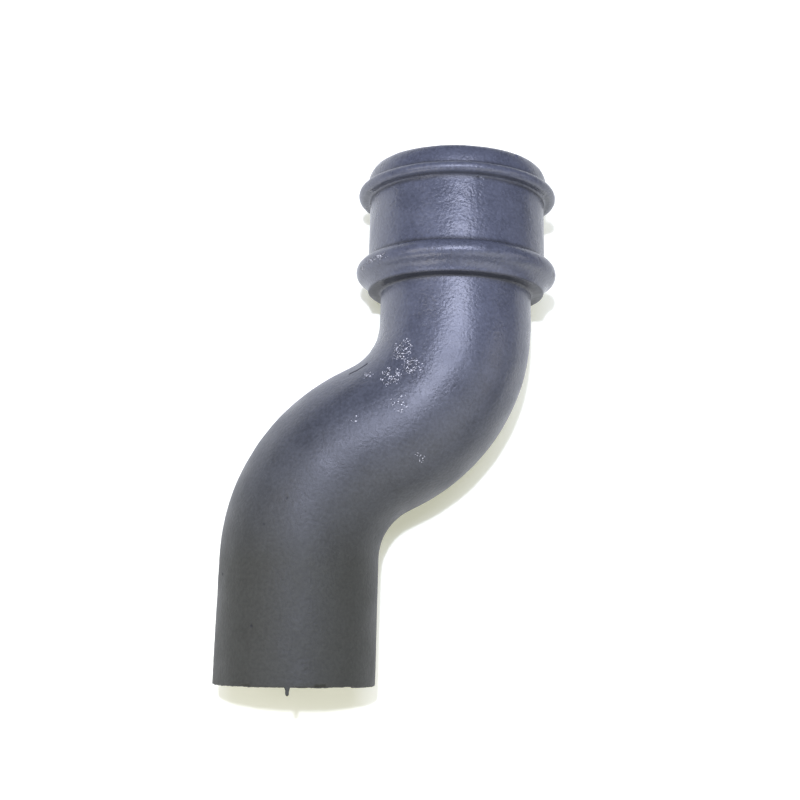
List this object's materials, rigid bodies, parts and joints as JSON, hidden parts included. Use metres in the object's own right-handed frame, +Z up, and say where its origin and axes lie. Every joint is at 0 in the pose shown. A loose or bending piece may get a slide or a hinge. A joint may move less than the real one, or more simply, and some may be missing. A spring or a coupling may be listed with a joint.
{
  "type": "downpipe offset",
  "caption": "Cast-iron downpipe offset, or swan neck: a plain spigot end and a beaded socket joined by an S-shaped pipe, lying on its side.",
  "frame": {"origin": "bottom centre of the bounding box, on the floor that the casting lies on", "axes": "+Y along both pipe axes and out of the socket's mouth, +X from the spigot's side to the socket's, +Z up"},
  "size_m": [0.167, 0.2644, 0.1052],
  "materials": {
    "primed_cast_iron": "sand-cast grey iron under a satin slate-grey primer, with a fine cast grain"
  },
  "bodies": {
    "root": {"offset_casting": "primed_cast_iron"}
  },
  "joints": []
}
